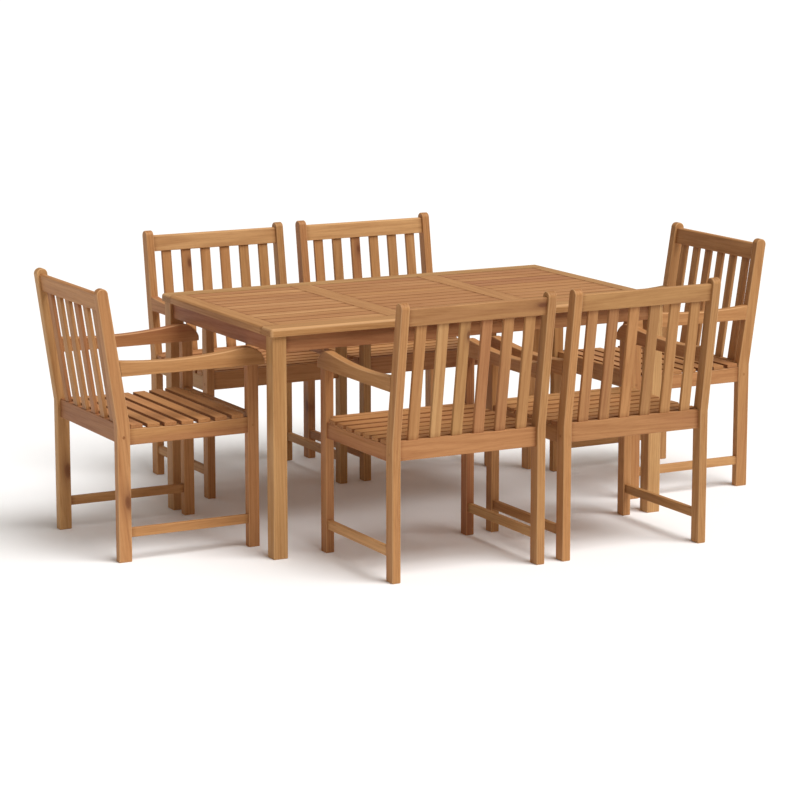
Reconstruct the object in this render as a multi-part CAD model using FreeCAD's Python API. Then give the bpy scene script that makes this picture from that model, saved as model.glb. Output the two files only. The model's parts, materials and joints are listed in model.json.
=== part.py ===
"""Patio dining set: a slatted hardwood table and six slatted armchairs.

Frame: +X along the table's length, +Y from the near long side to the far one, +Z up,
origin on the ground under the middle of the whole set. Millimetres.
Each armchair is built once in its own frame (X across, +Y forwards, origin on the
ground under the middle of the rear posts' rear faces), then turned and set down.
"""
import FreeCAD, Part
import math
import os

Vector = FreeCAD.Vector
UP = Vector(0, 0, 1)
ORIGIN = Vector(0, 0, 0)

# ---- Table ----
TABLE_LENGTH = 1500.0
TABLE_WIDTH = 877.0
TABLE_HEIGHT = 758.0
TOP_THICKNESS = 27.0            # frame boards of the top
TOP_OVERHANG = 9.0              # top's edge past the legs' outer faces
LEG_SIZE = 50.0                 # square legs
LONG_RAIL_WIDTH = 72.0          # frame boards along the length
END_RAIL_WIDTH = 57.0           # frame boards across the ends
CROSS_RAIL_WIDTH = 76.0         # two boards that divide the top into three panels
MIDDLE_PANEL_LENGTH = 427.0
TOP_SLATS = 12                  # slats in each panel
TOP_SLAT_GAP = 8.0
TOP_SLAT_THICKNESS = 18.0
TOP_SLAT_DROP = 1.0             # slats sit this far under the frame's face
APRON_HEIGHT = 54.0
APRON_THICKNESS = 20.0
APRON_SETBACK = 9.5             # behind the legs' outer faces

# ---- Armchair frame ----
CHAIR_WIDTH = 554.0
CHAIR_DEPTH = 499.0             # rear post's rear face to front leg's front face
BACK_HEIGHT = 894.0
MEMBER_WIDTH = 30.0             # posts, front legs and arms, across the chair
POST_DEPTH = 45.0
POST_TOP_DEPTH = 39.0
BEND_RISE = 8.0                 # posts start to lean back this far above the side rails
BACK_LEAN = 8.8                 # degrees, front face of the posts
FRONT_LEG_DEPTH = 38.5
ARM_CLEARANCE = 9.0             # arm's crown under the table's aprons
ARM_FRONT_HEIGHT = 60.0         # arm's depth at its crown
ARM_REAR_DROP = 9.0             # arm's rear end under the crown
ARM_WAIST_DROP = 18.5           # lowest part of the arm's top under the crown
ARM_WAIST_PLACE = 200.0         # forward of the rear face
ARM_CROWN_PLACE = 445.0         # where the nose starts to round over
ARM_OVERHANG = 25.0             # nose past the front leg
ARM_NOSE_RISE = 15.0            # upright part of the nose

# ---- Armchair seat and back ----
SEAT_HEIGHT = 450.5
SEAT_DISH = 5.0                 # hollow of the side rails' top edge
SEAT_SLATS = 7
SEAT_SLAT_GAP = 16.0
SEAT_SLAT_THICKNESS = 13.5
SEAT_SLAT_CLEARANCE = 0.1       # between a slat's lower edges and the hollowed rails
SEAT_REAR_GAP = 2.0             # rear slat to rear post
SEAT_FRONT_GAP = 13.0           # front slat to front leg
SIDE_RAIL_HEIGHT = 54.0
SIDE_RAIL_THICKNESS = 18.0
SIDE_RAIL_SETBACK = 5.0         # side rails and stretchers behind the outer faces
END_RAIL_HEIGHT = 63.0          # front and rear seat rails
END_RAIL_THICKNESS = 20.0
FRONT_RAIL_SETBACK = 15.5       # behind the front leg's front face
STRETCHER_BOTTOM = 80.0
STRETCHER_HEIGHT = 30.0
CREST_RAIL_HEIGHT = 57.0
CREST_RAIL_THICKNESS = 22.0
POST_HORN = 18.0                # post's top above the crest rail
BACK_SLATS = 6
BACK_SLAT_WIDTH = 37.0
BACK_SLAT_GAP = 41.0
BACK_SLAT_THICKNESS = 13.0
PLUG_RADIUS = 5.0
PLUG_DEPTH = 6.0
PLUG_CLEARANCE = 0.1            # round the plug in its bore
PLUG_PROUD = 0.4

# ---- How the armchairs stand round the table ----
CHAIR_GAP = 67.0                # between two armchairs on one long side
NEAR_TUCK = 52.0                # front legs in under the table's edge
FAR_TUCK = -47.0                # negative: standing clear of it
LEFT_TUCK = 51.5
RIGHT_TUCK = -2.5
NEAR_PAIR_SHIFT = 36.5          # middle of the pair from the table's middle
FAR_PAIR_SHIFT = 27.0
LEFT_SHIFT = 45.0
RIGHT_SHIFT = 54.5
LEG_CLEARANCE = 5.0             # least room between a tucked-in armchair and a table leg
STAND_OFF = 20.0                # arms to table, for armchairs too wide to tuck in

# ---- Worked out from the sizes above ----
TOP_BOTTOM = TABLE_HEIGHT - TOP_THICKNESS
APRON_BOTTOM = TOP_BOTTOM - APRON_HEIGHT
LEG_REACH_X = TABLE_LENGTH / 2 - TOP_OVERHANG
LEG_REACH_Y = TABLE_WIDTH / 2 - TOP_OVERHANG
CHAIR_HALF = CHAIR_WIDTH / 2
INNER_HALF = CHAIR_HALF - MEMBER_WIDTH
SIDE_RAIL_OUTER = CHAIR_HALF - SIDE_RAIL_SETBACK
SIDE_RAIL_INNER = SIDE_RAIL_OUTER - SIDE_RAIL_THICKNESS
FRONT_LEG_REAR = CHAIR_DEPTH - FRONT_LEG_DEPTH
RAIL_TOP = SEAT_HEIGHT - SEAT_SLAT_THICKNESS
BEND_HEIGHT = RAIL_TOP + BEND_RISE
SIDE_RAIL_BOTTOM = RAIL_TOP - SIDE_RAIL_HEIGHT
ARM_CROWN = APRON_BOTTOM - ARM_CLEARANCE
ARM_BOTTOM = ARM_CROWN - ARM_FRONT_HEIGHT
FRONT_SLOPE = math.tan(math.radians(BACK_LEAN))
LEAN_HEIGHT = BACK_HEIGHT - BEND_HEIGHT
REAR_SLOPE = FRONT_SLOPE - (POST_DEPTH - POST_TOP_DEPTH) / LEAN_HEIGHT
MID_SLOPE = (FRONT_SLOPE + REAR_SLOPE) / 2
CREST_TOP = BACK_HEIGHT - POST_HORN
CREST_BOTTOM = CREST_TOP - CREST_RAIL_HEIGHT


def box(x0, x1, y0, y1, z0, z1):
    """Straight board between two corners."""
    return Part.makeBox(x1 - x0, y1 - y0, z1 - z0, Vector(x0, y0, z0))


def extrude_across(edges, x0, x1):
    """Board whose side outline, closed edges in the plane X = 0, runs from x0 to x1."""
    face = Part.Face(Part.Wire(edges))
    face.translate(Vector(x0, 0, 0))
    return face.extrude(Vector(x1 - x0, 0, 0))


def side_point(forward, height):
    """Point of a side outline."""
    return Vector(0, forward, height)


def line(start, end):
    return Part.LineSegment(start, end).toShape()


def arc(start, middle, end):
    return Part.Arc(start, middle, end).toShape()


def polygon(points):
    """Closed edges through the points."""
    return [line(a, b) for a, b in zip(points, points[1:] + points[:1])]


def mirrored(shape):
    """The shape and its twin on the chair's other side."""
    return [shape, shape.mirror(ORIGIN, Vector(1, 0, 0))]


def post_front(height):
    """How far forward a rear post's front face is at a height."""
    return POST_DEPTH - max(0.0, height - BEND_HEIGHT) * FRONT_SLOPE


def post_rear(height):
    return -max(0.0, height - BEND_HEIGHT) * REAR_SLOPE


def post_middle(height):
    return (post_front(height) + post_rear(height)) / 2


# ---- Table ----

def table_legs():
    legs = []
    for sx in (-1, 1):
        for sy in (-1, 1):
            x = sorted((sx * LEG_REACH_X, sx * (LEG_REACH_X - LEG_SIZE)))
            y = sorted((sy * LEG_REACH_Y, sy * (LEG_REACH_Y - LEG_SIZE)))
            legs.append(box(x[0], x[1], y[0], y[1], 0, TOP_BOTTOM))
    return legs


def table_aprons():
    """Four boards between the legs, under the top."""
    aprons = []
    along = LEG_REACH_X - LEG_SIZE
    across = LEG_REACH_Y - LEG_SIZE
    for side in (-1, 1):
        y = sorted(side * (LEG_REACH_Y - APRON_SETBACK - t) for t in (0, APRON_THICKNESS))
        aprons.append(box(-along, along, y[0], y[1], APRON_BOTTOM, TOP_BOTTOM))
        x = sorted(side * (LEG_REACH_X - APRON_SETBACK - t) for t in (0, APRON_THICKNESS))
        aprons.append(box(x[0], x[1], -across, across, APRON_BOTTOM, TOP_BOTTOM))
    return aprons


def table_long_rails():
    half = TABLE_LENGTH / 2
    edge = TABLE_WIDTH / 2
    inner = edge - LONG_RAIL_WIDTH
    return [
        box(-half, half, -edge, -inner, TOP_BOTTOM, TABLE_HEIGHT),
        box(-half, half, inner, edge, TOP_BOTTOM, TABLE_HEIGHT),
    ]


def table_end_rails():
    """End boards of the top, between the long ones."""
    half = TABLE_LENGTH / 2
    inner = half - END_RAIL_WIDTH
    across = TABLE_WIDTH / 2 - LONG_RAIL_WIDTH
    return [
        box(-half, -inner, -across, across, TOP_BOTTOM, TABLE_HEIGHT),
        box(inner, half, -across, across, TOP_BOTTOM, TABLE_HEIGHT),
    ]


def table_cross_rails():
    inner = MIDDLE_PANEL_LENGTH / 2
    outer = inner + CROSS_RAIL_WIDTH
    across = TABLE_WIDTH / 2 - LONG_RAIL_WIDTH
    return [
        box(-outer, -inner, -across, across, TOP_BOTTOM, TABLE_HEIGHT),
        box(inner, outer, -across, across, TOP_BOTTOM, TABLE_HEIGHT),
    ]


def table_slats():
    """Slats of the three panels, their ends against the end and cross rails."""
    middle = MIDDLE_PANEL_LENGTH / 2
    outer_start = middle + CROSS_RAIL_WIDTH
    outer_end = TABLE_LENGTH / 2 - END_RAIL_WIDTH
    panels = ((-outer_end, -outer_start), (-middle, middle), (outer_start, outer_end))
    across = TABLE_WIDTH - 2 * LONG_RAIL_WIDTH
    width = (across - (TOP_SLATS + 1) * TOP_SLAT_GAP) / TOP_SLATS
    top = TABLE_HEIGHT - TOP_SLAT_DROP
    slats = []
    for x0, x1 in panels:
        for index in range(TOP_SLATS):
            y0 = -across / 2 + TOP_SLAT_GAP + index * (width + TOP_SLAT_GAP)
            slats.append(box(x0, x1, y0, y0 + width, top - TOP_SLAT_THICKNESS, top))
    return slats


# ---- Armchair ----

def plug_bore_places():
    """Forward place and height of each plug, at the ends of the side rails."""
    height = SIDE_RAIL_BOTTOM + SIDE_RAIL_HEIGHT / 2
    return ((POST_DEPTH / 2, height), (FRONT_LEG_REAR + FRONT_LEG_DEPTH / 2, height))


def bore(place):
    forward, height = place
    start = Vector(CHAIR_HALF, forward, height)
    return Part.makeCylinder(PLUG_RADIUS + PLUG_CLEARANCE, PLUG_DEPTH, start, Vector(-1, 0, 0))


def rear_posts():
    """Posts that lean back above the seat and end in a rounded horn."""
    shoulder = BACK_HEIGHT - POST_TOP_DEPTH / 2
    foot_rear = side_point(0, 0)
    foot_front = side_point(POST_DEPTH, 0)
    bend_rear = side_point(0, BEND_HEIGHT)
    bend_front = side_point(POST_DEPTH, BEND_HEIGHT)
    shoulder_rear = side_point(post_rear(shoulder), shoulder)
    shoulder_front = side_point(post_front(shoulder), shoulder)
    edges = [
        line(foot_rear, foot_front),
        line(foot_front, bend_front),
        line(bend_front, shoulder_front),
        arc(shoulder_front, side_point(post_middle(BACK_HEIGHT), BACK_HEIGHT), shoulder_rear),
        line(shoulder_rear, bend_rear),
        line(bend_rear, foot_rear),
    ]
    post = extrude_across(edges, INNER_HALF, CHAIR_HALF)
    return mirrored(post.cut(bore(plug_bore_places()[0])))


def front_legs():
    leg = box(INNER_HALF, CHAIR_HALF, FRONT_LEG_REAR, CHAIR_DEPTH, 0, ARM_BOTTOM)
    return mirrored(leg.cut(bore(plug_bore_places()[1])))


def arms():
    """Boards on edge, hollowed along the top, from the posts to a rounded nose."""
    nose = CHAIR_DEPTH + ARM_OVERHANG
    rear_top = ARM_CROWN - ARM_REAR_DROP
    nose_top = ARM_BOTTOM + ARM_NOSE_RISE
    quarter = math.sqrt(0.5)
    rear = side_point(post_front(rear_top), rear_top)
    waist = side_point(ARM_WAIST_PLACE, ARM_CROWN - ARM_WAIST_DROP)
    crown = side_point(ARM_CROWN_PLACE, ARM_CROWN)
    shoulder = side_point(
        ARM_CROWN_PLACE + quarter * (nose - ARM_CROWN_PLACE),
        nose_top + quarter * (ARM_CROWN - nose_top),
    )
    lip = side_point(nose, nose_top)
    foot = side_point(nose, ARM_BOTTOM)
    rear_foot = side_point(post_front(ARM_BOTTOM), ARM_BOTTOM)
    edges = [
        arc(rear, waist, crown),
        arc(crown, shoulder, lip),
        line(lip, foot),
        line(foot, rear_foot),
        line(rear_foot, rear),
    ]
    return mirrored(extrude_across(edges, INNER_HALF, CHAIR_HALF))


def leaning_board(x0, x1, thickness, bottom, top):
    """Board between two heights in the plane of the back, level at both ends."""
    lean = Vector(0, -MID_SLOPE * (top - bottom), top - bottom)
    middle = post_middle(bottom)
    start = side_point(middle - thickness / 2, bottom)
    end = side_point(middle + thickness / 2, bottom)
    return extrude_across(polygon([start, end, end + lean, start + lean]), x0, x1)


def crest_rail():
    board = leaning_board(-INNER_HALF, INNER_HALF, CREST_RAIL_THICKNESS, CREST_BOTTOM, CREST_TOP)
    return [board]


def back_slats():
    """Upright slats between the rear seat rail and the crest rail, about the middle."""
    pitch = BACK_SLAT_WIDTH + BACK_SLAT_GAP
    spread = BACK_SLATS * pitch - BACK_SLAT_GAP
    slats = []
    for index in range(BACK_SLATS):
        x0 = index * pitch - spread / 2
        x1 = x0 + BACK_SLAT_WIDTH
        slats.append(leaning_board(x0, x1, BACK_SLAT_THICKNESS, SEAT_HEIGHT, CREST_BOTTOM))
    return slats


def dish_height(forward):
    """Height of the side rails' hollowed top edge, a circle's arc between post and leg."""
    half = (FRONT_LEG_REAR - POST_DEPTH) / 2
    middle = POST_DEPTH + half
    radius = (half ** 2 + SEAT_DISH ** 2) / (2 * SEAT_DISH)
    return RAIL_TOP + radius - SEAT_DISH - math.sqrt(radius ** 2 - (forward - middle) ** 2)


def side_rail():
    rear = side_point(POST_DEPTH, RAIL_TOP)
    front = side_point(FRONT_LEG_REAR, RAIL_TOP)
    middle = (POST_DEPTH + FRONT_LEG_REAR) / 2
    front_foot = side_point(FRONT_LEG_REAR, SIDE_RAIL_BOTTOM)
    rear_foot = side_point(POST_DEPTH, SIDE_RAIL_BOTTOM)
    edges = [
        arc(rear, side_point(middle, dish_height(middle)), front),
        line(front, front_foot),
        line(front_foot, rear_foot),
        line(rear_foot, rear),
    ]
    return extrude_across(edges, SIDE_RAIL_INNER, SIDE_RAIL_OUTER)


def seat_rails():
    """Two hollowed side rails, and the rear and front rails that reach the seat's height."""
    bottom = SEAT_HEIGHT - END_RAIL_HEIGHT
    rear = (POST_DEPTH - END_RAIL_THICKNESS) / 2
    front = CHAIR_DEPTH - FRONT_RAIL_SETBACK - END_RAIL_THICKNESS
    rails = mirrored(side_rail())
    for start in (rear, front):
        end = start + END_RAIL_THICKNESS
        rails.append(box(-INNER_HALF, INNER_HALF, start, end, bottom, SEAT_HEIGHT))
    return rails


def seat_slats():
    """Slats across the seat, each resting by its two lower edges on the hollowed rails."""
    first = POST_DEPTH + SEAT_REAR_GAP
    last = FRONT_LEG_REAR - SEAT_FRONT_GAP
    width = (last - first - (SEAT_SLATS - 1) * SEAT_SLAT_GAP) / SEAT_SLATS
    slats = []
    for index in range(SEAT_SLATS):
        rear = first + index * (width + SEAT_SLAT_GAP)
        front = rear + width
        low_rear = side_point(rear, dish_height(rear) + SEAT_SLAT_CLEARANCE)
        low_front = side_point(front, dish_height(front) + SEAT_SLAT_CLEARANCE)
        along = (low_front - low_rear).normalize()
        rise = Vector(1, 0, 0).cross(along) * SEAT_SLAT_THICKNESS
        outline = polygon([low_rear, low_front, low_front + rise, low_rear + rise])
        slats.append(extrude_across(outline, -SIDE_RAIL_OUTER, SIDE_RAIL_OUTER))
    return slats


def stretchers():
    """Low rails from the rear posts to the front legs, one on each side."""
    top = STRETCHER_BOTTOM + STRETCHER_HEIGHT
    board = box(SIDE_RAIL_INNER, SIDE_RAIL_OUTER, POST_DEPTH, FRONT_LEG_REAR, STRETCHER_BOTTOM, top)
    return mirrored(board)


def plugs():
    """Round wooden plugs that close the screw bores of the side rails."""
    shapes = []
    for forward, height in plug_bore_places():
        start = Vector(CHAIR_HALF - PLUG_DEPTH, forward, height)
        length = PLUG_DEPTH + PLUG_PROUD
        shapes += mirrored(Part.makeCylinder(PLUG_RADIUS, length, start, Vector(1, 0, 0)))
    return shapes


# ---- The set ----

TABLE_PARTS = {
    "table_legs": table_legs,
    "table_aprons": table_aprons,
    "table_long_rails": table_long_rails,
    "table_end_rails": table_end_rails,
    "table_cross_rails": table_cross_rails,
    "table_slats": table_slats,
}
CHAIR_PARTS = {
    "rear_posts": rear_posts,
    "front_legs": front_legs,
    "arms": arms,
    "crest_rail": crest_rail,
    "back_slats": back_slats,
    "seat_rails": seat_rails,
    "seat_slats": seat_slats,
    "stretchers": stretchers,
    "plugs": plugs,
}


def tuck(wanted, reach, leg_face):
    """How far armchairs reaching this far sideways go in between two table legs."""
    fits = reach + LEG_CLEARANCE <= leg_face
    return wanted if fits else -ARM_OVERHANG - STAND_OFF


def chair_places():
    """Name, X, Y and turn of each armchair; at no turn it faces +Y."""
    spacing = (CHAIR_WIDTH + CHAIR_GAP) / 2
    pair_half = spacing + CHAIR_HALF
    along = LEG_REACH_X - LEG_SIZE
    across = LEG_REACH_Y - LEG_SIZE
    near_tuck = tuck(NEAR_TUCK, pair_half + NEAR_PAIR_SHIFT, along)
    far_tuck = tuck(FAR_TUCK, pair_half + FAR_PAIR_SHIFT, along)
    left_tuck = tuck(LEFT_TUCK, CHAIR_HALF + LEFT_SHIFT, across)
    right_tuck = tuck(RIGHT_TUCK, CHAIR_HALF + RIGHT_SHIFT, across)
    near = -TABLE_WIDTH / 2 + near_tuck - CHAIR_DEPTH
    far = TABLE_WIDTH / 2 - far_tuck + CHAIR_DEPTH
    left = -TABLE_LENGTH / 2 + left_tuck - CHAIR_DEPTH
    right = TABLE_LENGTH / 2 - right_tuck + CHAIR_DEPTH
    return (
        ("chair_left_end", left, LEFT_SHIFT, -90),
        ("chair_near_left", NEAR_PAIR_SHIFT - spacing, near, 0),
        ("chair_near_right", NEAR_PAIR_SHIFT + spacing, near, 0),
        ("chair_far_left", FAR_PAIR_SHIFT - spacing, far, 180),
        ("chair_far_right", FAR_PAIR_SHIFT + spacing, far, 180),
        ("chair_right_end", right, RIGHT_SHIFT, 90),
    )


def build_set():
    """Every node's shape, round the table's middle."""
    nodes = {name: Part.makeCompound(make()) for name, make in TABLE_PARTS.items()}
    chair = {name: Part.makeCompound(make()) for name, make in CHAIR_PARTS.items()}
    for place, x, y, turn in chair_places():
        for name, shape in chair.items():
            piece = shape.copy()
            piece.rotate(ORIGIN, UP, turn)
            piece.translate(Vector(x, y, 0))
            nodes[f"{place}_{name}"] = piece
    return nodes


def main():
    nodes = build_set()
    bounds = FreeCAD.BoundBox()
    for shape in nodes.values():
        bounds.add(shape.optimalBoundingBox(False, False))
    middle = Vector(bounds.Center.x, bounds.Center.y, 0)
    os.makedirs("parts", exist_ok=True)
    for name, shape in nodes.items():
        shape.translate(-middle)
        shape.exportStep(f"parts/{name}.step")
    size = f"{bounds.XLength:.1f} x {bounds.YLength:.1f} x {bounds.ZLength:.1f} mm"
    print(f"{len(nodes)} nodes, {size}, table's middle at {-middle.x:.2f}, {-middle.y:.2f}")


main()
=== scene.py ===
"""Slatted hardwood garden table with six armchairs, finished board by board on a fixed frame."""
import json
import math
import random

import bmesh
import bpy
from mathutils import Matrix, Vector

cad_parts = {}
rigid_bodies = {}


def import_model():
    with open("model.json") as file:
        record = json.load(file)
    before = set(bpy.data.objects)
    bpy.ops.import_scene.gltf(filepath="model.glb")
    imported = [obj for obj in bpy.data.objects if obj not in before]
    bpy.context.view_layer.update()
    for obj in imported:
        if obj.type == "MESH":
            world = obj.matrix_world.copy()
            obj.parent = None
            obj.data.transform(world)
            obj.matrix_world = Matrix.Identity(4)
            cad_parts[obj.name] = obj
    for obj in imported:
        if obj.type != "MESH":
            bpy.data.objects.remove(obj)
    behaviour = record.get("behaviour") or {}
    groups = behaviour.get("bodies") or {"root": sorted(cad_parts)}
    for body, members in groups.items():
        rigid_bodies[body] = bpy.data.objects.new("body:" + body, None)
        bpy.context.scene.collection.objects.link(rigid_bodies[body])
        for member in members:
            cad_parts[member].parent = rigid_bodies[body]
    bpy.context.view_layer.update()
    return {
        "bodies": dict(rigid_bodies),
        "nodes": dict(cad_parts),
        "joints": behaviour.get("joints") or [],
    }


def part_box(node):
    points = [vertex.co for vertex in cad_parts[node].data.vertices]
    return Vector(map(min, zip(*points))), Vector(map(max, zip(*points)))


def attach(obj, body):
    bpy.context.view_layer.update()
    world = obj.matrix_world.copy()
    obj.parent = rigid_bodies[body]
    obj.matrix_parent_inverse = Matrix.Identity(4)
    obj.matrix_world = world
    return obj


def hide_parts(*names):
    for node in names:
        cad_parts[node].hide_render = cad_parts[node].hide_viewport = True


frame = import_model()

bl_info = {
    "name": "Slatted garden dining set",
    "version": (1, 0, 0),
    "blender": (4, 5, 0),
    "location": "3D View > Sidebar > Garden set",
    "description": "Eased, grained boards for a slatted table and its armchairs",
    "category": "Object",
}

CHAIRS = sorted(name for name in frame["bodies"] if name != "table")

MERGE = 0.00001             # points nearer than this are one point
FLAT = math.radians(0.3)    # faces nearer to level than this are one face
SHARP = math.radians(25)    # edges that turn more than this are sawn corners
SMOOTH = math.radians(40)   # edges that turn less than this are shaded round
END_FACE = 0.8              # how nearly a face looks along its board to be its end
ON_RIM = 0.0005             # corners nearer than this to the top's outer faces are on its rim
BORE_REACH = 0.009          # corners nearer than this to a plug's middle are its bore's
SLOT_EDGE = 0.0008          # painted shade on a slat's sides starts this far below its top
NO_JOINT = 9.0              # metres to the next joint for a board with free ends
NO_KNOT = Vector((40, 40, 40))         # radii between a board and a knot that it doesn't have
KNOT_SHAPE = Vector((0.42, 1, 0.25))   # a knot is longer along the board and runs through it
KNOT_DEPTH = 0.4            # from a board's middle to its knot's, as a share of its thickness
KNOT_CHANCE = 0.008         # of a knot on a board that isn't singled out for one

# How far each mark takes a board's colour towards its tint, from 0 to 1.
LATE_SHARE = 0.17
STREAK_SHARE = 0.26
PORE_SHARE = 0.14
END_SHARE = 0.45
# Slots and joints get painted shade, and worn corners a painted highlight as well as wear.
SLOT_SHADE_SHARE = 0.85
JOINT_SHADE_SHARE = 0.5
WEAR_AND_HIGHLIGHT_SHARE = 0.75

FLOOR_REACH = 90                        # metres from the floor's middle to its sides
KEY_FROM = Vector((0.24, -0.52, 1.0))   # direction that the key light comes from
AIM_ASIDE = Vector((-0.051, 0, 0))      # level offset of the camera's aim from the table's middle
FILM_WIDTH = 36                         # millimetres, which the lens is given for
FAR_CLIP = 500                          # metres that the camera sees


def linear(code):
    """An sRGB hex colour as linear red, green and blue."""
    channels = [int(code[i:i + 2], 16) / 255 for i in (1, 3, 5)]
    return [c / 12.92 if c <= 0.04045 else ((c + 0.055) / 1.055) ** 2.4 for c in channels]


def colour_property(name, description, code):
    """A colour that a user may change, with its default as a hex value."""
    return bpy.props.FloatVectorProperty(
        name=name, description=description, subtype="COLOR", size=3, min=0, max=1,
        default=linear(code),
    )


def length_property(name, description, metres):
    """A length that a user may change."""
    return bpy.props.FloatProperty(
        name=name, description=description, default=metres, min=0, unit="LENGTH", precision=4,
    )


class EdgeSizes(bpy.types.PropertyGroup):
    """How far each kind of board's corners are rounded over."""
    table_rim: length_property("Table rim", "Round-over of the top's outer corners", 0.010)
    table_joint: length_property("Table joints", "Eased corners of the top's inner edges", 0.0012)
    table_slat: length_property("Table slats", "Eased corners of the top's slats", 0.0011)
    table_leg: length_property("Table legs", "Eased corners of legs and aprons", 0.0032)
    post: length_property("Chair posts", "Round-over of posts and front legs", 0.0038)
    arm_top: length_property("Arm top", "Round-over of the arms' upper corners", 0.0045)
    arm_foot: length_property("Arm underside", "Eased corners under the arms", 0.0015)
    crest_top: length_property("Crest rail top", "Round-over along the crest rail", 0.0060)
    chair_rail: length_property("Chair rails", "Eased corners of rails and stretchers", 0.0022)
    back_slat: length_property("Back slats", "Eased corners of the upright slats", 0.0028)
    seat_slat: length_property("Seat slats", "Eased corners of the seat's slats", 0.0022)
    plug: length_property("Plugs", "Eased rim of the round plugs", 0.0003)


class WoodLook(bpy.types.PropertyGroup):
    """Colours and grain of the oiled hardwood."""
    pale: colour_property("Pale", "Sapwood, the palest boards", "#D3A36F")
    honey: colour_property("Honey", "Most of the boards", "#BC8857")
    brown: colour_property("Brown", "Reddish heartwood", "#A46B47")
    olive: colour_property("Olive", "Greenish cast of some boards", "#A58755")
    late: colour_property("Late wood", "Tint of the rings' dark lines and streaks", "#B08B6A")
    # The worn-edge colour is also a painted highlight along rounded corners.
    worn_and_lit: colour_property("Worn edge", "Sanded corners, where the oil is thin", "#DCB080")
    rosy: colour_property("Rosy", "Pinkish cast of a few boards", "#A26849")
    knot: colour_property("Knot", "Middle of a knot", "#5E2F1C")
    end_tint: colour_property("End tint", "Deepens cut ends", "#DACBBF")
    # Painted shade on the sides of slats, where the slots between them fall in shade.
    slot_shade_tint: colour_property("Slot tint", "Deepens the sides of slats", "#A68C79")
    # Painted shade at the ends of boards that meet other boards.
    joint_shade_tint: colour_property("Joint tint", "Deepens ends that meet other boards", "#BCA490")
    plug_tint: colour_property("Plug tint", "Deepens the round plugs", "#E7DFD7")
    ring_spacing: length_property("Ring spacing", "Between the dark lines of the grain", 0.009)
    streak_width: length_property("Streak width", "Width of the darker streaks", 0.006)
    roughness: bpy.props.FloatProperty(
        name="Roughness", description="Of the oiled surface", default=0.52, min=0, max=1,
    )


class StageLook(bpy.types.PropertyGroup):
    """Floor, light and camera."""
    sky_colour: colour_property("Sky colour", "Slightly warm, as light off pale walls", "#FFF8EF")
    floor: colour_property("Floor", "Plain pale floor", "#F8F8F8")
    sky: bpy.props.FloatProperty(
        name="Sky", description="Even light from all round", default=0.32, min=0,
    )
    sun: bpy.props.FloatProperty(
        name="Key light", description="Soft light from above the near side", default=3.2, min=0,
    )
    softness: bpy.props.FloatProperty(
        name="Softness", description="How wide the key light is",
        default=math.radians(38), min=0, subtype="ANGLE",
    )
    azimuth: bpy.props.FloatProperty(
        name="Azimuth", description="Camera's turn round the set",
        default=math.radians(-28.133), subtype="ANGLE",
    )
    elevation: bpy.props.FloatProperty(
        name="Elevation", description="Camera's height over level",
        default=math.radians(10.792), subtype="ANGLE",
    )
    distance: length_property("Distance", "Camera to the point that it looks at", 9.826)
    aim_height: length_property("Aim height", "Height that the camera looks at", 0.3933)
    lens: bpy.props.FloatProperty(
        name="Lens", description="Focal length in millimetres", default=128.218, min=1,
    )


# ---- Shader nodes ----

def add_node(tree, kind, links=None, **settings):
    """Add a node; links gives each input a value or the output that feeds it."""
    node = tree.nodes.new(kind)
    for name, value in settings.items():
        setattr(node, name, value)
    for name, value in (links or {}).items():
        if isinstance(value, bpy.types.NodeSocket):
            tree.links.new(value, node.inputs[name])
        else:
            node.inputs[name].default_value = value
    return node


def set_ramp(node, stops):
    """Give a colour ramp its stops, as pairs of place and grey or colour."""
    elements = node.color_ramp.elements
    while len(elements) > 1:
        elements.remove(elements[-1])
    for index, (place, value) in enumerate(stops):
        element = elements[0] if index == 0 else elements.new(place)
        element.position = place
        element.color = (*value, 1) if hasattr(value, "__len__") else (value, value, value, 1)
    return node.outputs["Color"]


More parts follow.
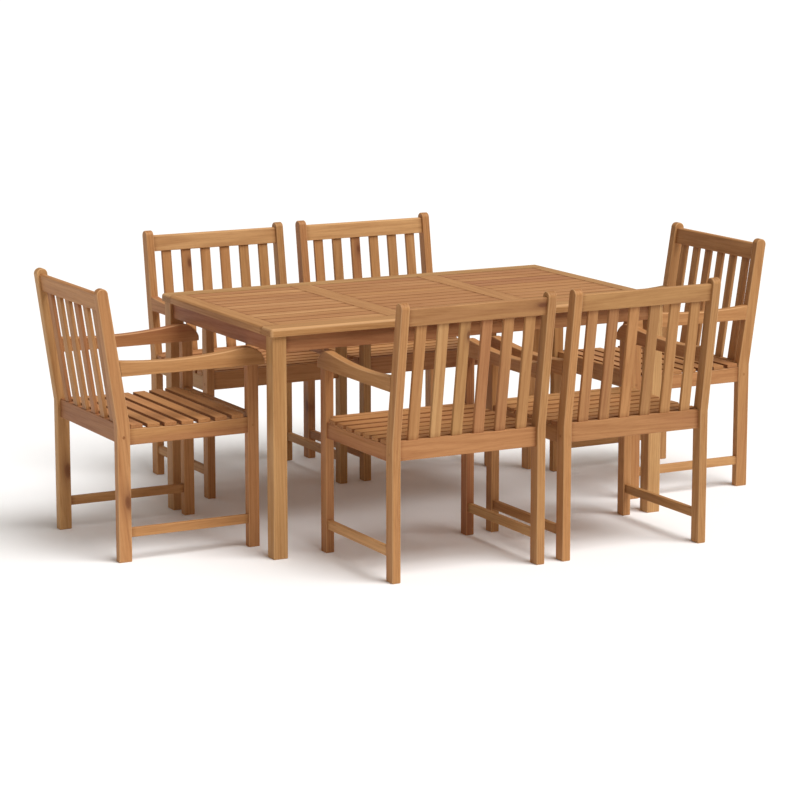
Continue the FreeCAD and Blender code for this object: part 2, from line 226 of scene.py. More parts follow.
def oiled_acacia(name, look, tint):
    """Planed and oiled acacia: straight, low-contrast grain with warm streaks and a soft sheen.

    Rings run round each board's own pith, so they show as lines and flat arches on the
    faces and as arcs on the ends. A tint deepens the whole board's colour.
    """
    material = bpy.data.materials.new(name)
    material.use_nodes = True
    tree = material.node_tree
    tree.nodes.clear()
    stored = {
        key: add_node(tree, "ShaderNodeAttribute", attribute_name=key)
        for key in ("grain", "tone", "knot", "reach", "wear_and_highlight", "end_grain", "slot_shade")
    }
    square = add_node(tree, "ShaderNodeVectorMath", {
        0: stored["knot"].outputs["Vector"], 1: stored["knot"].outputs["Vector"]},
        operation="DOT_PRODUCT").outputs["Value"]
    figure = wood_figure(tree, grain_flow(tree, stored, square), look)
    colour = board_colour(tree, stored, figure, look)
    colour = darkened(tree, stored, figure, colour, look)
    colour = knotted(tree, figure, square, colour, look)
    if tint is not None:
        colour = add_node(tree, "ShaderNodeMix", {"Factor": 1.0, "A": colour, "B": (*tint, 1)},
                          data_type="RGBA", blend_type="MULTIPLY").outputs["Result"]

    # Open fibres scatter the sheen, and slots are never polished.
    dullness = add_node(tree, "ShaderNodeMath", {
        0: figure["noise"], 1: 0.16, 2: look.roughness - 0.08}, operation="MULTIPLY_ADD")
    dull_slots = add_node(tree, "ShaderNodeMath", {
        0: stored["slot_shade"].outputs["Fac"], 1: 0.35, 2: dullness.outputs[0]},
        operation="MULTIPLY_ADD", use_clamp=True)

    # Pores are pits half a millimetre deep at most, and dense late wood stands proud.
    height = add_node(tree, "ShaderNodeMath", {0: figure["pore"], 1: -0.6, 2: figure["noise"]},
                      operation="MULTIPLY_ADD")
    relief = add_node(tree, "ShaderNodeMath", {
        0: figure["late"], 1: 0.35, 2: height.outputs[0]}, operation="MULTIPLY_ADD")
    bump = add_node(tree, "ShaderNodeBump", {
        "Strength": 0.35, "Distance": 0.0005, "Height": relief.outputs[0]})
    shader = add_node(tree, "ShaderNodeBsdfPrincipled", {
        "Base Color": colour, "Roughness": dull_slots.outputs[0], "IOR": 1.45,
        "Specular IOR Level": 0.2, "Normal": bump.outputs[0]})
    add_node(tree, "ShaderNodeOutputMaterial", {"Surface": shader.outputs[0]})
    return material


def grain_flow(tree, stored, square):
    """A point's place in its board's log; grain parts at a knot, as water does at a post."""
    near = add_node(tree, "ShaderNodeMath", {0: square, 1: 0.5}, operation="MAXIMUM")
    push = add_node(tree, "ShaderNodeMath", {0: 0.007, 1: near.outputs[0]}, operation="DIVIDE")
    sideways = add_node(tree, "ShaderNodeVectorMath", {
        0: stored["knot"].outputs["Vector"], 1: (0, 1, 1)}, operation="MULTIPLY")
    shift = add_node(tree, "ShaderNodeVectorMath", {
        0: sideways.outputs[0], "Scale": push.outputs[0]}, operation="SCALE")
    return add_node(tree, "ShaderNodeVectorMath", {
        0: stored["grain"].outputs["Vector"], 1: shift.outputs[0]},
        operation="SUBTRACT").outputs[0]


def wood_figure(tree, flow, look):
    """Late wood, streaks, bands of heartwood and pores, each from 0 to 1."""
    # Growth rings, stretched twelvefold along the board.
    long_flow = add_node(tree, "ShaderNodeMapping", {"Vector": flow, "Scale": (0.08, 1, 1)})
    rings = add_node(tree, "ShaderNodeTexWave", {
        "Vector": long_flow.outputs[0],
        "Scale": 2 * math.pi / (20 * look.ring_spacing),
        "Distortion": 5.0, "Detail": 3.0, "Detail Scale": 0.7, "Detail Roughness": 0.55,
    }, wave_type="RINGS", rings_direction="X", wave_profile="SIN")
    late = set_ramp(add_node(tree, "ShaderNodeValToRGB", {"Fac": rings.outputs["Fac"]}),
                    ((0.0, 0.0), (0.5, 0.12), (0.86, 0.9), (1.0, 1.0)))

    # Darker streaks about 150 mm long, and broad bands of heartwood about 40 mm wide.
    streak_map = add_node(tree, "ShaderNodeMapping", {
        "Vector": flow, "Scale": (7, 1 / look.streak_width, 1 / look.streak_width)})
    noise = add_node(tree, "ShaderNodeTexNoise", {
        "Vector": streak_map.outputs[0], "Scale": 1.0, "Detail": 3.0, "Roughness": 0.6})
    streak = set_ramp(add_node(tree, "ShaderNodeValToRGB", {"Fac": noise.outputs["Fac"]}),
                      ((0.42, 0.0), (0.72, 1.0)))
    band_map = add_node(tree, "ShaderNodeMapping", {"Vector": flow, "Scale": (1.6, 24, 24)})
    bands = add_node(tree, "ShaderNodeTexNoise", {
        "Vector": band_map.outputs[0], "Scale": 1.0, "Detail": 2.0, "Roughness": 0.5})

    # Pores are 0.3 mm wide, too fine to show, so they are drawn as dashes 1.5 mm wide.
    pore_map = add_node(tree, "ShaderNodeMapping", {"Vector": flow, "Scale": (38, 680, 680)})
    pores = add_node(tree, "ShaderNodeTexNoise", {
        "Vector": pore_map.outputs[0], "Scale": 1.0, "Detail": 1.0, "Roughness": 0.5})
    pore = set_ramp(add_node(tree, "ShaderNodeValToRGB", {"Fac": pores.outputs["Fac"]}),
                    ((0.56, 0.0), (0.72, 1.0)))
    return {"late": late, "noise": noise.outputs["Fac"], "streak": streak,
            "bands": bands.outputs["Fac"], "pore": pore}


def board_colour(tree, stored, figure, look):
    """A clean board's colour: its own tone, drifting along and across, and its figure."""
    tones = add_node(tree, "ShaderNodeSeparateXYZ", {"Vector": stored["tone"].outputs["Vector"]})
    drift = add_node(tree, "ShaderNodeMath", {
        0: figure["bands"], 1: 0.75, 2: tones.outputs["X"]}, operation="MULTIPLY_ADD")
    base = set_ramp(add_node(tree, "ShaderNodeValToRGB", {"Fac": drift.outputs[0]}),
                    ((0.18, look.brown), (0.50, look.honey), (0.74, look.honey), (1.0, look.pale)))
    cast = add_node(tree, "ShaderNodeMix", {
        "Factor": tones.outputs["Y"], "A": base, "B": (*look.olive, 1)}, data_type="RGBA")
    blushed = add_node(tree, "ShaderNodeMix", {
        "Factor": tones.outputs["Z"], "A": cast.outputs["Result"], "B": (*look.rosy, 1)},
        data_type="RGBA")
    share = add_node(tree, "ShaderNodeMath", {0: figure["late"], 1: LATE_SHARE},
                     operation="MULTIPLY").outputs[0]
    for mark, most in (("streak", STREAK_SHARE), ("pore", PORE_SHARE)):
        share = add_node(tree, "ShaderNodeMath", {0: figure[mark], 1: most, 2: share},
                         operation="MULTIPLY_ADD", use_clamp=True).outputs[0]
    return add_node(tree, "ShaderNodeMix", {
        "Factor": share, "A": blushed.outputs["Result"], "B": (*look.late, 1)},
        data_type="RGBA", blend_type="MULTIPLY").outputs["Result"]


def darkened(tree, stored, figure, colour, look):
    """The board's colour with deeper end grain, painted shade in slots and at joints, and paler
    worn corners that also hold a painted highlight.
    """
    # End grain drinks more oil. The sides of slats get painted shade, as the slots between slats
    # fall in shade.
    for key, most, tint in (("end_grain", END_SHARE, look.end_tint),
                            ("slot_shade", SLOT_SHADE_SHARE, look.slot_shade_tint)):
        share = add_node(tree, "ShaderNodeMath", {0: stored[key].outputs["Fac"], 1: most},
                         operation="MULTIPLY")
        colour = add_node(tree, "ShaderNodeMix", {
            "Factor": share.outputs[0], "A": colour, "B": (*tint, 1)},
            data_type="RGBA", blend_type="MULTIPLY").outputs["Result"]

    # Painted shade darkens the last centimetre of a board where it meets another, as the corner of
    # a joint falls in shade.
    places = add_node(tree, "ShaderNodeSeparateXYZ", {"Vector": stored["reach"].outputs["Vector"]})
    from_middle = add_node(tree, "ShaderNodeMath", {0: places.outputs["X"]}, operation="ABSOLUTE")
    from_end = add_node(tree, "ShaderNodeMath", {
        0: places.outputs["Y"], 1: from_middle.outputs[0]}, operation="SUBTRACT")
    uneven_end = add_node(tree, "ShaderNodeMath", {
        0: figure["noise"], 1: -0.016, 2: from_end.outputs[0]}, operation="MULTIPLY_ADD")
    joint = add_node(tree, "ShaderNodeMapRange", {
        "Value": uneven_end.outputs[0], "From Min": -0.008, "From Max": 0.010,
        "To Min": JOINT_SHADE_SHARE, "To Max": 0.0})
    joint_shaded = add_node(tree, "ShaderNodeMix", {
        "Factor": joint.outputs[0], "A": colour, "B": (*look.joint_shade_tint, 1)},
        data_type="RGBA", blend_type="MULTIPLY")

    # Sanded corners are paler, unevenly, and this pale band is also a painted highlight along
    # rounded edges.
    patchy_wear_and_highlight = add_node(tree, "ShaderNodeMath", {
        0: stored["wear_and_highlight"].outputs["Fac"], 1: figure["noise"]}, operation="MULTIPLY")
    wear_and_highlight_amount = add_node(tree, "ShaderNodeMath", {0: patchy_wear_and_highlight.outputs[0], 1: WEAR_AND_HIGHLIGHT_SHARE},
                          operation="MULTIPLY", use_clamp=True)
    return add_node(tree, "ShaderNodeMix", {
        "Factor": wear_and_highlight_amount.outputs[0], "A": joint_shaded.outputs["Result"], "B": (*look.worn_and_lit, 1)},
        data_type="RGBA").outputs["Result"]


def knotted(tree, figure, square, colour, look):
    """A knot: dark core, a reddish ring, and a warm halo that fades out within four radii."""
    rough_edge = add_node(tree, "ShaderNodeMath", {0: figure["noise"], 1: 1.4, 2: 0.3},
                          operation="MULTIPLY_ADD")
    radii = add_node(tree, "ShaderNodeMath", {0: square, 1: 0.5}, operation="POWER")
    uneven = add_node(tree, "ShaderNodeMath", {0: radii.outputs[0], 1: rough_edge.outputs[0]},
                      operation="MULTIPLY")
    outward = add_node(tree, "ShaderNodeMath", {0: uneven.outputs[0], 1: 4.0},
                       operation="DIVIDE", use_clamp=True)
    share = set_ramp(add_node(tree, "ShaderNodeValToRGB", {"Fac": outward.outputs[0]}),
                     ((0.0, 0.85), (0.18, 0.74), (0.30, 0.36), (0.55, 0.14), (0.9, 0.0)))
    return add_node(tree, "ShaderNodeMix", {"Factor": share, "A": colour, "B": (*look.knot, 1)},
                    data_type="RGBA").outputs["Result"]


def wood_for(slot):
    """The finished wood of a material slot, made once; plugs are dowel, which looks deeper."""
    look = bpy.context.scene.garden_wood
    names = {
        "table_wood": ("acacia_planed_oiled_table", None),
        "chair_wood": ("acacia_planed_oiled_chair", None),
        "plug_wood": ("acacia_dowel_oiled", look.plug_tint),
    }
    name, tint = names[slot]
    return bpy.data.materials.get(name) or oiled_acacia(name, look, tint)


# ---- Boards ----

def whole_copy(node):
    """A merged copy of a frame node's mesh, its flat faces whole again."""
    mesh = bmesh.new()
    mesh.from_mesh(frame["nodes"][node].data)
    bmesh.ops.remove_doubles(mesh, verts=mesh.verts, dist=MERGE)
    bmesh.ops.dissolve_limit(mesh, angle_limit=FLAT, verts=mesh.verts, edges=mesh.edges)
    return mesh


def islands(mesh):
    """The separate boards of a mesh, as sets of vertex numbers, ordered by place."""
    mesh.verts.index_update()
    seen = set()
    found = []
    for start in mesh.verts:
        if start.index in seen:
            continue
        group, waiting = [], [start]
        seen.add(start.index)
        while waiting:
            vert = waiting.pop()
            group.append(vert)
            for edge in vert.link_edges:
                other = edge.other_vert(vert)
                if other.index not in seen:
                    seen.add(other.index)
                    waiting.append(other)
        middle = sum((v.co for v in group), Vector()) / len(group)
        found.append(([round(c, 4) for c in middle], {v.index for v in group}))
    return [numbers for _, numbers in sorted(found, key=lambda item: item[0])]


def boards_of(node):
    """Each board of a node as a mesh of its own."""
    whole = whole_copy(node)
    boards = []
    for numbers in islands(whole):
        board = whole.copy()
        others = [v for v in board.verts if v.index not in numbers]
        bmesh.ops.delete(board, geom=others, context="VERTS")
        boards.append(board)
    whole.free()
    return boards


class Lie:
    """How a board lies: its middle, its foot, and the ways along, across and through it."""

    def __init__(self, board):
        points = [v.co for v in board.verts]
        low = Vector([min(p[i] for p in points) for i in range(3)])
        high = Vector([max(p[i] for p in points) for i in range(3)])
        span = high - low
        longest = max(range(3), key=lambda i: span[i])
        near_end = span[longest] * 0.03
        tops = [p for p in points if p[longest] > high[longest] - near_end]
        feet = [p for p in points if p[longest] < low[longest] + near_end]
        top = sum(tops, Vector()) / len(tops)
        foot = sum(feet, Vector()) / len(feet)
        self.low, self.high, self.span, self.foot = low, high, span, foot
        self.middle = (low + high) / 2
        self.along = (top - foot).normalized()
        self.length = (top - foot).length
        # The wider of the two directions square to the board's own length, which may lean.
        sides = []
        for i in range(3):
            if i != longest:
                axis = Vector([float(i == k) for k in range(3)])
                axis = (axis - self.along * axis.dot(self.along)).normalized()
                reach = [p.dot(axis) for p in points]
                sides.append((max(reach) - min(reach), i, axis))
        self.thickness, self.width = sorted(side[0] for side in sides)
        self.across = max(sides)[2]
        self.through = self.along.cross(self.across)

    def local(self, point):
        """A point's place along, across and through the board."""
        offset = point - self.middle
        return Vector((offset.dot(self.along), offset.dot(self.across), offset.dot(self.through)))

    def looks_along(self, face):
        """Whether a face is one of the board's ends."""
        return abs(face.normal.dot(self.along)) > END_FACE


def sharp_edges(board):
    """Outward corners left by the saw."""
    return [
        edge for edge in board.edges
        if len(edge.link_faces) == 2 and edge.calc_face_angle_signed() > SHARP
    ]


def ease(board, edges, radius, segments):
    """Round edges over and mark the new faces."""
    marks = board.faces.layers.int.get("rounded") or board.faces.layers.int.new("rounded")
    edges = [edge for edge in edges if edge.is_valid]
    if not edges or radius <= 0:
        return
    made = bmesh.ops.bevel(
        board, geom=edges, offset=radius, offset_type="OFFSET", segments=segments,
        profile=0.5, affect="EDGES", clamp_overlap=False, material=-1,
    )
    for face in made["faces"]:
        face[marks] = 1


class Paint:
    """How light, olive and rosy a node's boards are on average, and whether slots part them."""

    def __init__(self, tone=0.24, olive=0.12, rosy=-0.15, slotted=False):
        self.tone = tone
        self.olive = olive
        self.rosy = rosy
        self.slotted = slotted


class Knot:
    """A knot's radius, and its place on a board.

    The place is given either as shares of the board's length and width from its
    middle, or in metres from the middle of its foot, which suits a bent post.
    """

    def __init__(self, radius, shares=None, from_foot=None):
        self.radius = radius
        self.shares = shares
        self.from_foot = from_foot

    def eye(self, lie):
        """The knot's middle, along, across and through the board."""
        if self.from_foot:
            return lie.local(lie.foot + Vector(self.from_foot))
        place, sideways = self.shares
        return Vector((place * lie.length, sideways * lie.width, KNOT_DEPTH * lie.thickness))


def paint_grain(board, lie, draw, paint, knot, tucked):
    """Store each point's place in the board's own log, its tone, its knot, its worn corners that
    also hold a painted highlight, and the painted shade of slots and joints.
    """
    rounded = board.faces.layers.int.get("rounded")
    grain = board.verts.layers.float_vector.new("grain")
    tone = board.verts.layers.float_vector.new("tone")
    from_knot = board.verts.layers.float_vector.new("knot")
    reach = board.verts.layers.float_vector.new("reach")
    wear_and_highlight = board.verts.layers.float.new("wear_and_highlight")
    ends = board.loops.layers.float.new("end_grain")
    slot_shade = board.loops.layers.float.new("slot_shade")
    board.normal_update()
    pith = Vector((draw.uniform(-4, 4), draw.uniform(-0.03, 0.03), draw.uniform(0.03, 0.11)))
    slant = Vector((0, draw.uniform(-0.022, 0.022), draw.uniform(-0.03, 0.03)))
    spread = 0.6 if paint.slotted else 1.0
    shade = Vector((draw.gauss(paint.tone, 0.12 * spread),
                    max(0.0, draw.gauss(paint.olive, 0.14 * spread)),
                    max(0.0, draw.gauss(paint.rosy, 0.22 * spread))))
    chance, place, radius = draw.random(), draw.uniform(-0.42, 0.42), draw.uniform(0.004, 0.007)
    sideways = draw.uniform(-0.35, 0.35)
    slot_shade_strength = draw.uniform(0.6, 1.0)
    if knot is None and chance < KNOT_CHANCE:
        knot = Knot(radius, shares=(place, sideways))
    for vert in board.verts:
        local = lie.local(vert.co)
        vert[grain] = local + pith + slant * local.x
        vert[tone] = shade
        # Painted shade at joints reads each point's place along the board, and half its length
        # when its ends meet other boards.
        vert[reach] = Vector((local.x, lie.length / 2 if tucked else NO_JOINT, 0))
        vert[from_knot] = (local - knot.eye(lie)) / knot.radius * KNOT_SHAPE if knot else NO_KNOT
        # Rounded corners get wear, and the same pale band serves as a painted highlight.
        worn_and_lit = rounded is not None and all(face[rounded] for face in vert.link_faces)
        vert[wear_and_highlight] = 1.0 if worn_and_lit and not paint.slotted else 0.0
    for face in board.faces:
        # Ends count in full when they look along the board, and rounded corners in part.
        share = (abs(face.normal.dot(lie.along)) - 0.55) / 0.3
        for loop in face.loops:
            loop[ends] = min(1.0, max(0.0, share))
            # Painted shade on a slat's sides, below its top, where the slots between slats fall in
            # shade.
            depth = (lie.high.z - loop.vert.co.z) / SLOT_EDGE if paint.slotted else 0.0
            loop[slot_shade] = min(1.0, max(0.0, depth)) * abs(face.normal.dot(lie.across)) * slot_shade_strength


def join(boards, name, body, slot, node):
    """One piece from a node's finished boards, riding on its body in the node's stead."""
    mesh = bpy.data.meshes.new(name)
    whole = bmesh.new()
    for board in boards:
        part = bpy.data.meshes.new(name + "_board")
        board.to_mesh(part)
        whole.from_mesh(part)
        board.free()
        bpy.data.meshes.remove(part)
    whole.to_mesh(mesh)
    whole.free()
    # Normals stored for the sawn boards don't fit the rounded ones.
    if "custom_normal" in mesh.attributes:
        mesh.attributes.remove(mesh.attributes["custom_normal"])
    mesh.materials.clear()
    mesh.materials.append(wood_for(slot))
    for polygon in mesh.polygons:
        polygon.use_smooth = True
        polygon.material_index = 0
    mesh.set_sharp_from_angle(angle=SMOOTH)
    piece = bpy.data.objects.new(name, mesh)
    bpy.context.scene.collection.objects.link(piece)
    weighted = piece.modifiers.new("even_shading", "WEIGHTED_NORMAL")
    weighted.mode = "FACE_AREA"
    weighted.keep_sharp = True
    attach(piece, body)
    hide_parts(node)
    return piece


def finish_node(node, body, slot, shape, paint=Paint(), knots=None, paints=None, tucked=False):
    """Shape and paint every board of a node; shape gets the board and how it lies.

    Knots and paints single out boards by their order. Tucked boards end against others.
    """
    boards = boards_of(node)
    if not boards:
        raise RuntimeError(f"{node} has no boards")
    for index, board in enumerate(boards):
        lie = Lie(board)
        draw = random.Random(f"{node} {index}")
        shape(board, lie)
        own_paint = (paints or {}).get(index, paint)
        paint_grain(board, lie, draw, own_paint, (knots or {}).get(index), tucked)
    return join(boards, node + "_wood", body, slot, node)


def free_edges(board, lie, is_free):
    """Sawn corners, less those round an end that butts against another board."""
    chosen = []
    for edge in sharp_edges(board):
        ends = [face for face in edge.link_faces if lie.looks_along(face)]
        if all(is_free(face) for face in ends):
            chosen.append(edge)
    return chosen


def both_ends(face):
    """For boards whose two ends are free."""
    return True


def no_end(face):
    """For boards that butt against others at both ends."""
    return False


def foot_end(face):
    """For legs: the foot is free and the top isn't."""
    return face.normal.z < 0


def edge_middle(edge):
    """The point halfway along an edge."""
    return (edge.verts[0].co + edge.verts[1].co) / 2


def forward_of(chair):
    """The way that a chair's sitter looks: its slide runs the other way, away from the table."""
    for joint in frame["joints"]:
        if joint["child"] == chair:
            return -Vector(joint["axis"])
    raise RuntimeError(f"{chair} has no slide")


# Boards that stand out: knots in three posts, a crest rail and three back slats; two pale
# posts, the far one lighter as painted light; a dark, an olive and two pale crest rails,
# the dark one with painted shade; two lighter arms; two rosy back slats and six darker ones,
# darker with painted shade, as the left-end chair's back faces away from the key light.
# The numbers count a node's boards in order of place.
POST_KNOTS = {
    "chair_left_end": {
        0: Knot(0.0105, from_foot=(0.011, -0.015, 0.198)),
        1: Knot(0.0110, from_foot=(0.011, -0.015, 0.201)),
    },
    "chair_far_right": {0: Knot(0.0110, from_foot=(-0.015, -0.012, 0.200))},
}
CREST_KNOTS = {"chair_near_left": {0: Knot(0.008, shares=(0.47, 0.10))}}
SLAT_KNOTS = {
    "chair_far_left": {1: Knot(0.008, shares=(0.36, 0.25))},
    "chair_far_right": {2: Knot(0.007, shares=(0.38, 0.25))},
    "chair_near_left": {2: Knot(0.007, shares=(0.38, 0.35))},
}
# Painted light: the left-end chair's far post (1) is paler, to lift the shade that it stands in.
POST_PAINTS = {"chair_left_end": {0: Paint(0.42, 0.02, 0.06), 1: Paint(0.62, 0.22, -0.2)}}
CREST_PAINTS = {
    # Painted shade: the left-end chair's crest rail is darker, as its back faces away from the key
    # light.
    "chair_left_end": {0: Paint(0.08, 0.08, 0.0)},
    "chair_near_left": {0: Paint(0.22, 0.25, -0.4)},
    "chair_far_left": {0: Paint(0.55, 0.08, -0.4)},
    "chair_far_right": {0: Paint(0.50, 0.10, -0.4)},
}
ARM_PAINTS = {"chair_left_end": {0: Paint(0.16, 0.05, 0.08), 1: Paint(0.20, 0.08, -0.1)}}
SLAT_PAINTS = {
    "chair_near_left": {3: Paint(0.14, 0.0, 0.55)},
    "chair_near_right": {3: Paint(0.14, 0.0, 0.50)},
    # Painted shade: the left-end chair's six back slats are darker, as its back faces away from
    # the key light.
    "chair_left_end": {k: Paint(0.12, 0.06, 0.0) for k in range(6)},
}


# ---- Operators ----

class GARDEN_OT_table_top_frame(bpy.types.Operator):
    """Two long rails, two end rails and two cross rails of the top, with a rounded rim"""
    bl_idname = "garden.table_top_frame"
    bl_label = "Table top frame"

    def execute(self, context):
        sizes = context.scene.garden_edges
        low_x = min(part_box("table_long_rails")[0].x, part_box("table_end_rails")[0].x)
        high_x = max(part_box("table_long_rails")[1].x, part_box("table_end_rails")[1].x)
        low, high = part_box("table_long_rails")

        def on_rim(edge):
            """Whether an edge lies on the top's outer faces and isn't on its underside."""
            middle = edge_middle(edge)
            outside = min(middle.x - low_x, high_x - middle.x, middle.y - low.y, high.y - middle.y)
            above_underside = 0.002
            return outside < ON_RIM and middle.z > low.z + above_underside

        def shape(board, lie):
            long_rail = lie.span.x > lie.span.y
            ends = both_ends if long_rail else no_end
            rim = [e for e in free_edges(board, lie, ends) if on_rim(e)]
            if long_rail:
                rim = [e for e in rim if not self.inner_corner(e, lie, low, high)]
            ease(board, rim, sizes.table_rim, 4)
            rest = [e for e in free_edges(board, lie, ends)
                    if not self.inner_corner(e, lie, low, high)]
            ease(board, rest, sizes.table_joint, 2)

        for node in ("table_long_rails", "table_end_rails", "table_cross_rails"):
            finish_node(node, "table", "table_wood", shape, Paint(0.43, 0.22, -0.1),
                        tucked=node != "table_long_rails")
        return {"FINISHED"}

    @staticmethod
    def inner_corner(edge, lie, low, high):
        """Whether an upright edge of a long rail's end touches an end rail."""
        tall, inside = 0.01, 0.02
        upright = abs(edge.verts[0].co.z - edge.verts[1].co.z) > tall
        middle = edge_middle(edge)
        return upright and min(middle.y - low.y, high.y - middle.y) > inside


class GARDEN_OT_table_slats(bpy.types.Operator):
    """Slats of the top's three panels"""
    bl_idname = "garden.table_slats"
    bl_label = "Table slats"

    def execute(self, context):
        radius = context.scene.garden_edges.table_slat

        def shape(board, lie):
            ease(board, free_edges(board, lie, no_end), radius, 3)

        finish_node("table_slats", "table", "table_wood", shape,
                    Paint(0.36, -0.05, 0.20, True), tucked=True)
        return {"FINISHED"}


class GARDEN_OT_table_base(bpy.types.Operator):
    """Legs and aprons under the top"""
    bl_idname = "garden.table_base"
    bl_label = "Table legs and aprons"

    def execute(self, context):
        radius = context.scene.garden_edges.table_leg

        def leg(board, lie):
            ease(board, free_edges(board, lie, foot_end), radius, 3)

        def apron(board, lie):
            ease(board, free_edges(board, lie, no_end), radius * 0.6, 3)

        # Painted light: the far-left leg (1) is much paler, to lift the shade that it stands in
        # under the top.
        finish_node("table_legs", "table", "table_wood", leg, Paint(0.46, 0.04, 0.0),
                    paints={1: Paint(0.80, 0.10, -0.2)})
        # Painted shade: the aprons are darker, as they sit in the shade under the top's overhang.
        finish_node("table_aprons", "table", "table_wood", apron, Paint(-0.06, 0.0, 0.1),
                    tucked=True)
        return {"FINISHED"}


class GARDEN_OT_chair_posts(bpy.types.Operator):
    """Rear posts with rounded horns, and front legs"""
    bl_idname = "garden.chair_posts"
    bl_label = "Chair posts and legs"

    def execute(self, context):
        radius = context.scene.garden_edges.post
        for chair in CHAIRS:
            plugs = [Lie(board).middle for board in boards_of(chair + "_plugs")]

            def off_the_bores(edges):
                """Edges that aren't the rim of a plug's hole."""
                return [e for e in edges
                        if min((edge_middle(e) - plug).length for plug in plugs) > BORE_REACH]

            def post(board, lie):
                ease(board, off_the_bores(free_edges(board, lie, both_ends)), radius, 3)

            def leg(board, lie):
                ease(board, off_the_bores(free_edges(board, lie, foot_end)), radius * 0.75, 3)

            finish_node(chair + "_rear_posts", chair, "chair_wood", post,
                        knots=POST_KNOTS.get(chair), paints=POST_PAINTS.get(chair))
            finish_node(chair + "_front_legs", chair, "chair_wood", leg)
        return {"FINISHED"}


class GARDEN_OT_chair_arms(bpy.types.Operator):
    """Arms: boards on edge, hollowed on top, with a rounded nose"""
    bl_idname = "garden.chair_arms"
    bl_label = "Chair arms"

    def execute(self, context):
        sizes = context.scene.garden_edges
        for chair in CHAIRS:
            forward = forward_of(chair)

            def front_end(face):
                """For arms: the nose is free and the rear end meets its post."""
                return face.normal.dot(forward) > 0

            def shape(board, lie):
                over, under_by = 0.003, 0.001
                top = [e for e in free_edges(board, lie, front_end)
                       if edge_middle(e).z > lie.low.z + over]
                ease(board, top, sizes.arm_top, 3)
                under = [e for e in free_edges(board, lie, front_end)
                         if edge_middle(e).z < lie.low.z + under_by]
                ease(board, under, sizes.arm_foot, 2)

            finish_node(chair + "_arms", chair, "chair_wood", shape,
                        Paint(0.12, 0.02, 0.10), paints=ARM_PAINTS.get(chair))
        return {"FINISHED"}


class GARDEN_OT_chair_backs(bpy.types.Operator):
    """Crest rails with a rounded top, and upright back slats"""
    bl_idname = "garden.chair_backs"
    bl_label = "Chair backs"

    def execute(self, context):
        sizes = context.scene.garden_edges

        def crest(board, lie):
            crown = 0.01
            top = [e for e in free_edges(board, lie, no_end)
                   if edge_middle(e).z > lie.high.z - crown]
            ease(board, top, sizes.crest_top, 4)
            ease(board, free_edges(board, lie, no_end), sizes.chair_rail, 3)

        def slat(board, lie):
            ease(board, free_edges(board, lie, no_end), sizes.back_slat, 3)

        for chair in CHAIRS:
            finish_node(chair + "_crest_rail", chair, "chair_wood", crest,
                        knots=CREST_KNOTS.get(chair), paints=CREST_PAINTS.get(chair), tucked=True)
            finish_node(chair + "_back_slats", chair, "chair_wood", slat,
                        knots=SLAT_KNOTS.get(chair), paints=SLAT_PAINTS.get(chair), tucked=True)
        return {"FINISHED"}


class GARDEN_OT_chair_seats(bpy.types.Operator):
    """Seat rails, seat slats and low stretchers"""
    bl_idname = "garden.chair_seats"
    bl_label = "Chair seats"

    def execute(self, context):
        sizes = context.scene.garden_edges

        def rail(board, lie):
            ease(board, free_edges(board, lie, no_end), sizes.chair_rail, 3)

        def slat(board, lie):
            ease(board, free_edges(board, lie, both_ends), sizes.seat_slat, 3)

        for chair in CHAIRS:
            finish_node(chair + "_seat_rails", chair, "chair_wood", rail,
                        Paint(0.20, 0.06, 0.08), tucked=True)
            finish_node(chair + "_seat_slats", chair, "chair_wood", slat,
                        Paint(0.22, 0.0, 0.12, True))
            # Painted light: the stretchers are paler, to lift the shade under the seat.
            finish_node(chair + "_stretchers", chair, "chair_wood", rail,
                        Paint(0.40, 0.10), tucked=True)
        return {"FINISHED"}


class GARDEN_OT_chair_plugs(bpy.types.Operator):
    """Round plugs over the side rails' screws"""
    bl_idname = "garden.chair_plugs"
    bl_label = "Chair plugs"

    def execute(self, context):
        radius = context.scene.garden_edges.plug

        def shape(board, lie):
            ease(board, sharp_edges(board), radius, 2)

        for chair in CHAIRS:
            finish_node(chair + "_plugs", chair, "plug_wood", shape, Paint(0.34, 0.10, -0.2))
        return {"FINISHED"}


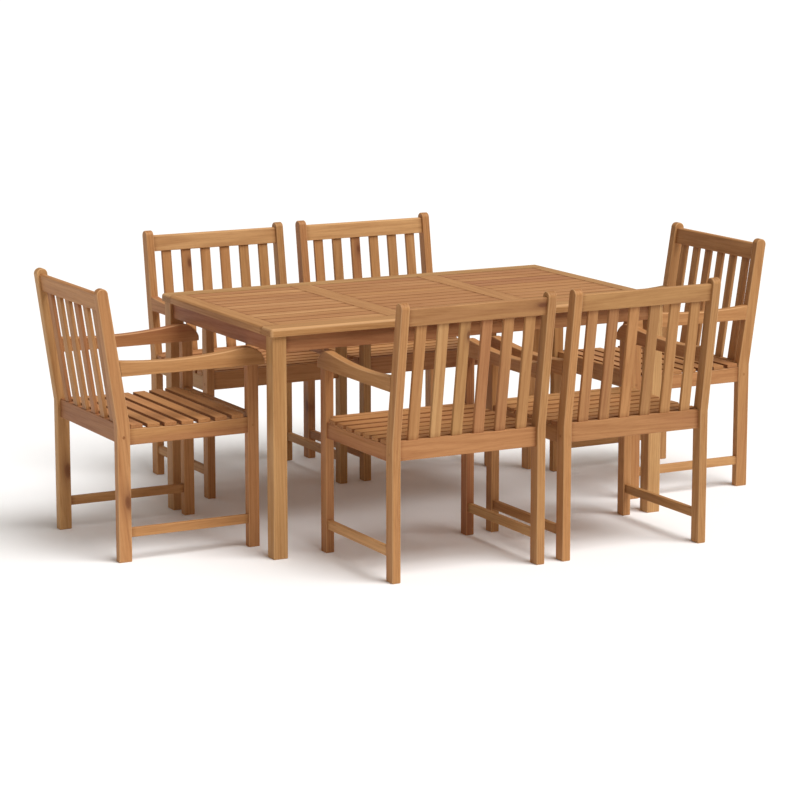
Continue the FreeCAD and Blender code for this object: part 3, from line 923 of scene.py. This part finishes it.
class GARDEN_OT_stage(bpy.types.Operator):
    """Pale floor, soft light and camera"""
    bl_idname = "garden.stage"
    bl_label = "Stage"

    def execute(self, context):
        scene = context.scene
        look = scene.garden_stage
        self.make_floor(scene, look)
        self.make_light(scene, look)
        self.make_camera(scene, look)
        scene.view_settings.view_transform = "Standard"
        return {"FINISHED"}

    def make_floor(self, scene, look):
        """Matt painted board, which takes a soft shadow and shows no gloss."""
        mesh = bmesh.new()
        bmesh.ops.create_grid(mesh, x_segments=1, y_segments=1, size=FLOOR_REACH)
        data = bpy.data.meshes.new("floor")
        mesh.to_mesh(data)
        mesh.free()
        floor = bpy.data.objects.new("floor", data)
        scene.collection.objects.link(floor)
        material = bpy.data.materials.new("pale_studio_floor")
        material.use_nodes = True
        tree = material.node_tree
        tree.nodes.clear()
        shader = add_node(tree, "ShaderNodeBsdfPrincipled", {
            "Base Color": (*look.floor, 1), "Roughness": 0.9})
        add_node(tree, "ShaderNodeOutputMaterial", {"Surface": shader.outputs[0]})
        data.materials.append(material)

    def make_light(self, scene, look):
        """Even light from all round, and one broad key light."""
        world = bpy.data.worlds.new("studio")
        scene.world = world
        world.use_nodes = True
        tree = world.node_tree
        tree.nodes.clear()
        glow = add_node(tree, "ShaderNodeBackground", {
            "Color": (*look.sky_colour, 1), "Strength": look.sky})
        add_node(tree, "ShaderNodeOutputWorld", {"Surface": glow.outputs[0]})
        sun = bpy.data.lights.new("key", "SUN")
        sun.energy = look.sun
        sun.angle = look.softness
        lamp = bpy.data.objects.new("key", sun)
        lamp.rotation_euler = (-KEY_FROM).to_track_quat("-Z", "Y").to_euler()
        scene.collection.objects.link(lamp)

    def make_camera(self, scene, look):
        """A long lens from a little above the table."""
        low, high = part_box("table_long_rails")
        aim = (low + high) / 2 + AIM_ASIDE
        aim.z = look.aim_height
        back = Vector((
            math.sin(look.azimuth) * math.cos(look.elevation),
            -math.cos(look.azimuth) * math.cos(look.elevation),
            math.sin(look.elevation),
        ))
        data = bpy.data.cameras.new("camera")
        data.lens = look.lens
        data.sensor_width = FILM_WIDTH
        data.clip_end = FAR_CLIP
        camera = bpy.data.objects.new("camera", data)
        camera.location = aim + back * look.distance
        camera.rotation_euler = (-back).to_track_quat("-Z", "Y").to_euler()
        scene.collection.objects.link(camera)
        scene.camera = camera


OPERATORS = (
    GARDEN_OT_stage,
    GARDEN_OT_table_top_frame,
    GARDEN_OT_table_slats,
    GARDEN_OT_table_base,
    GARDEN_OT_chair_posts,
    GARDEN_OT_chair_arms,
    GARDEN_OT_chair_backs,
    GARDEN_OT_chair_seats,
    GARDEN_OT_chair_plugs,
)


class GARDEN_PT_panel(bpy.types.Panel):
    """The set's pieces, and the sizes and colours behind them"""
    bl_idname = "GARDEN_PT_panel"
    bl_label = "Garden set"
    bl_space_type = "VIEW_3D"
    bl_region_type = "UI"
    bl_category = "Garden set"

    def draw(self, context):
        for kind in OPERATORS:
            self.layout.operator(kind.bl_idname)
        for group in ("garden_edges", "garden_wood", "garden_stage"):
            values = getattr(context.scene, group)
            box = self.layout.box()
            for name in type(values).__annotations__:
                box.prop(values, name)


CLASSES = (EdgeSizes, WoodLook, StageLook, *OPERATORS, GARDEN_PT_panel)


def register():
    """Add the set's classes, and their values to the scene."""
    for kind in CLASSES:
        bpy.utils.register_class(kind)
    bpy.types.Scene.garden_edges = bpy.props.PointerProperty(type=EdgeSizes)
    bpy.types.Scene.garden_wood = bpy.props.PointerProperty(type=WoodLook)
    bpy.types.Scene.garden_stage = bpy.props.PointerProperty(type=StageLook)


def unregister():
    """Take the set's classes and values away again."""
    del bpy.types.Scene.garden_edges
    del bpy.types.Scene.garden_wood
    del bpy.types.Scene.garden_stage
    for kind in reversed(CLASSES):
        bpy.utils.unregister_class(kind)


def main():
    """Make every piece."""
    register()
    bpy.ops.garden.stage()
    bpy.ops.garden.table_top_frame()
    bpy.ops.garden.table_slats()
    bpy.ops.garden.table_base()
    bpy.ops.garden.chair_posts()
    bpy.ops.garden.chair_arms()
    bpy.ops.garden.chair_backs()
    bpy.ops.garden.chair_seats()
    bpy.ops.garden.chair_plugs()


if __name__ == "__main__":
    main()
